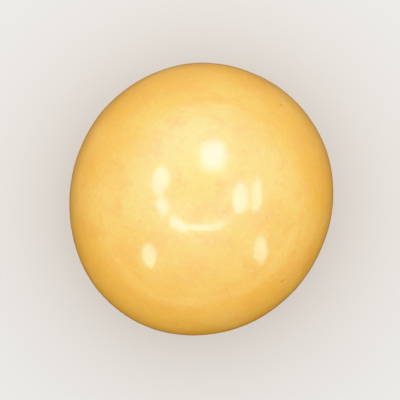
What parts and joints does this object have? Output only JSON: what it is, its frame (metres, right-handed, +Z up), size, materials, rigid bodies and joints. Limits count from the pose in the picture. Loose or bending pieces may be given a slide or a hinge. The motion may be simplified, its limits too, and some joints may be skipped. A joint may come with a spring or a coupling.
{
  "type": "caramel coated hazelnut",
  "caption": "Round, slightly egg-like sweet: a whole nut under a smooth, glossy caramel coating, lying on a small flat spot.",
  "frame": {"origin": "middle of the sweet's footprint, on the surface that it lies on", "axes": "+Z up, away from the flat spot that it rests on; Y along the sweet's long way, with the narrower tip of the nut towards -Y; X across"},
  "size_m": [0.0188, 0.0198, 0.0186],
  "materials": {
    "caramel_coating": "gloss"
  },
  "bodies": {
    "root": {"coated_hazelnut": "caramel_coating"}
  },
  "joints": []
}
